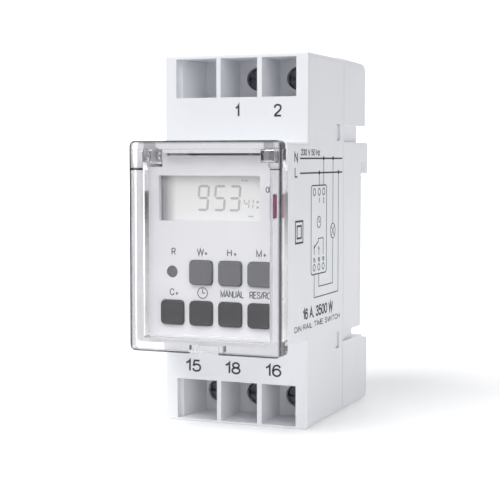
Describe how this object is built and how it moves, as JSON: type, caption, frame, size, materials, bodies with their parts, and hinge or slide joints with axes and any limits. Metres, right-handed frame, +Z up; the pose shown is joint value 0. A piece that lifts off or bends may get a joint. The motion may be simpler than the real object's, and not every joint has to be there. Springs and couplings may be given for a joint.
{
  "type": "din rail timer",
  "caption": "Two-module digital time switch for a 35 mm DIN rail: stepped white case, display and keys behind a hinged clear cover, screw terminals at both ends.",
  "frame": {"origin": "centre of the seat face that rests on the rail's front flanges", "axes": "+Y out of the seat towards the rail and the wall, +Z up towards the fixed hook and the supply terminals, +X to the right seen from the front"},
  "size_m": [0.0362, 0.0629, 0.0864],
  "materials": {
    "casing": "fine-textured moulded white polycarbonate",
    "clear_cover": "polished clear polycarbonate",
    "rail_clip": "moulded polyamide",
    "light_key": "matt moulded key cap",
    "dark_key": "matt moulded key cap",
    "rubber": "silicone",
    "lcd": "reflective liquid crystal cell",
    "red_lens": "tinted epoxy",
    "laminate": "solder-masked glass-epoxy board",
    "black_plastic": "moulded epoxy or polyester",
    "steel": "zinc-plated",
    "brass": "stamped strip",
    "tinned": "nickel-plated",
    "copper": "enamelled copper winding",
    "blue_epoxy": "dipped epoxy",
    "yellow_epoxy": "moulded box",
    "ribbon": "flat PVC cable"
  },
  "bodies": {
    "housing": {"front_housing": "casing", "rear_housing": "casing", "keypad_mat": "rubber", "lcd_holder": "casing", "lcd_cell": "lcd", "zebra_strip_lower": "rubber", "zebra_strip_upper": "rubber", "indicator_led": "red_lens", "control_board": "laminate", "controller_chip": "black_plastic", "quartz_crystal": "tinned", "backup_battery": "tinned", "ribbon_socket_front": "casing", "power_board": "laminate", "relay_cover": "black_plastic", "relay_base": "black_plastic", "relay_coil": "copper", "film_capacitor": "yellow_epoxy", "smoothing_capacitor": "black_plastic", "varistor": "blue_epoxy", "bridge_rectifier": "black_plastic", "fusible_resistor": "yellow_epoxy", "ribbon_socket_rear": "casing", "ribbon_cable": "ribbon", "board_screw_1": "steel", "board_screw_2": "steel", "board_screw_3": "steel", "board_screw_4": "steel", "terminal_bar_1": "brass", "terminal_bar_2": "brass", "terminal_bar_15": "brass", "terminal_bar_18": "brass", "terminal_bar_16": "brass"},
    "cover": {"flip_cover": "clear_cover"},
    "clip": {"rail_clip": "rail_clip"},
    "reset": {"reset_plunger": "light_key"},
    "armature": {"relay_armature": "steel"},
    "key_week": {"key_week": "light_key"},
    "key_hour": {"key_hour": "light_key"},
    "key_minute": {"key_minute": "light_key"},
    "key_countdown": {"key_countdown": "dark_key"},
    "key_clock": {"key_clock": "dark_key"},
    "key_manual": {"key_manual": "dark_key"},
    "key_recall": {"key_recall": "dark_key"},
    "screw_1": {"terminal_screw_1": "steel"},
    "cage_1": {"terminal_cage_1": "tinned"},
    "screw_2": {"terminal_screw_2": "steel"},
    "cage_2": {"terminal_cage_2": "tinned"},
    "screw_15": {"terminal_screw_15": "steel"},
    "cage_15": {"terminal_cage_15": "tinned"},
    "screw_18": {"terminal_screw_18": "steel"},
    "cage_18": {"terminal_cage_18": "tinned"},
    "screw_16": {"terminal_screw_16": "steel"},
    "cage_16": {"terminal_cage_16": "tinned"}
  },
  "joints": [
    {"name": "cover_hinge", "type": "hinge", "parent": "housing", "child": "cover", "pos_m": [0, -0.05, 0.0194], "axis": [-1, 0, 0], "range_deg": [0, 105]},
    {"name": "press_week", "type": "slide", "parent": "housing", "child": "key_week", "axis": [0, 1, 0], "range_m": [0, 0.0006], "stiffness_N_per_m": 800},
    {"name": "press_hour", "type": "slide", "parent": "housing", "child": "key_hour", "axis": [0, 1, 0], "range_m": [0, 0.0006], "stiffness_N_per_m": 800},
    {"name": "press_minute", "type": "slide", "parent": "housing", "child": "key_minute", "axis": [0, 1, 0], "range_m": [0, 0.0006], "stiffness_N_per_m": 800},
    {"name": "press_countdown", "type": "slide", "parent": "housing", "child": "key_countdown", "axis": [0, 1, 0], "range_m": [0, 0.0006], "stiffness_N_per_m": 800},
    {"name": "press_clock", "type": "slide", "parent": "housing", "child": "key_clock", "axis": [0, 1, 0], "range_m": [0, 0.0006], "stiffness_N_per_m": 800},
    {"name": "press_manual", "type": "slide", "parent": "housing", "child": "key_manual", "axis": [0, 1, 0], "range_m": [0, 0.0006], "stiffness_N_per_m": 800},
    {"name": "press_recall", "type": "slide", "parent": "housing", "child": "key_recall", "axis": [0, 1, 0], "range_m": [0, 0.0006], "stiffness_N_per_m": 800},
    {"name": "press_reset", "type": "slide", "parent": "housing", "child": "reset", "axis": [0, 1, 0], "range_m": [0, 0.0005], "stiffness_N_per_m": 800},
    {"name": "clip_slide", "type": "slide", "parent": "housing", "child": "clip", "axis": [0, 0, -1], "range_m": [0, 0.003], "stiffness_N_per_m": 1500},
    {"name": "armature_pivot", "type": "hinge", "parent": "housing", "child": "armature", "pos_m": [0.008, -0.0122, -0.0115], "axis": [-1, 0, 0], "range_deg": [0, 4], "stiffness_Nm_per_rad": 0.01},
    {"name": "turn_screw_1", "type": "hinge", "parent": "housing", "child": "screw_1", "pos_m": [0.00074, -0.024, 0.0376], "axis": [0, 1, 0], "range_deg": [0, 2017]},
    {"name": "lift_cage_1", "type": "slide", "parent": "housing", "child": "cage_1", "axis": [0, -1, 0], "range_m": [0, 0.0028]},
    {"name": "turn_screw_2", "type": "hinge", "parent": "housing", "child": "screw_2", "pos_m": [0.0109, -0.024, 0.0376], "axis": [0, 1, 0], "range_deg": [0, 2017]},
    {"name": "lift_cage_2", "type": "slide", "parent": "housing", "child": "cage_2", "axis": [0, -1, 0], "range_m": [0, 0.0028]},
    {"name": "turn_screw_15", "type": "hinge", "parent": "housing", "child": "screw_15", "pos_m": [-0.0094, -0.024, -0.0376], "axis": [0, 1, 0], "range_deg": [0, 2017]},
    {"name": "lift_cage_15", "type": "slide", "parent": "housing", "child": "cage_15", "axis": [0, -1, 0], "range_m": [0, 0.0028]},
    {"name": "turn_screw_18", "type": "hinge", "parent": "housing", "child": "screw_18", "pos_m": [0.00074, -0.024, -0.0376], "axis": [0, 1, 0], "range_deg": [0, 2017]},
    {"name": "lift_cage_18", "type": "slide", "parent": "housing", "child": "cage_18", "axis": [0, -1, 0], "range_m": [0, 0.0028]},
    {"name": "turn_screw_16", "type": "hinge", "parent": "housing", "child": "screw_16", "pos_m": [0.0109, -0.024, -0.0376], "axis": [0, 1, 0], "range_deg": [0, 2017]},
    {"name": "lift_cage_16", "type": "slide", "parent": "housing", "child": "cage_16", "axis": [0, -1, 0], "range_m": [0, 0.0028]}
  ],
  "couplings": [
    {"joint": "turn_screw_1", "follows": "lift_cage_1", "rad_per_m": 12566},
    {"joint": "turn_screw_2", "follows": "lift_cage_2", "rad_per_m": 12566},
    {"joint": "turn_screw_15", "follows": "lift_cage_15", "rad_per_m": 12566},
    {"joint": "turn_screw_18", "follows": "lift_cage_18", "rad_per_m": 12566},
    {"joint": "turn_screw_16", "follows": "lift_cage_16", "rad_per_m": 12566}
  ]
}
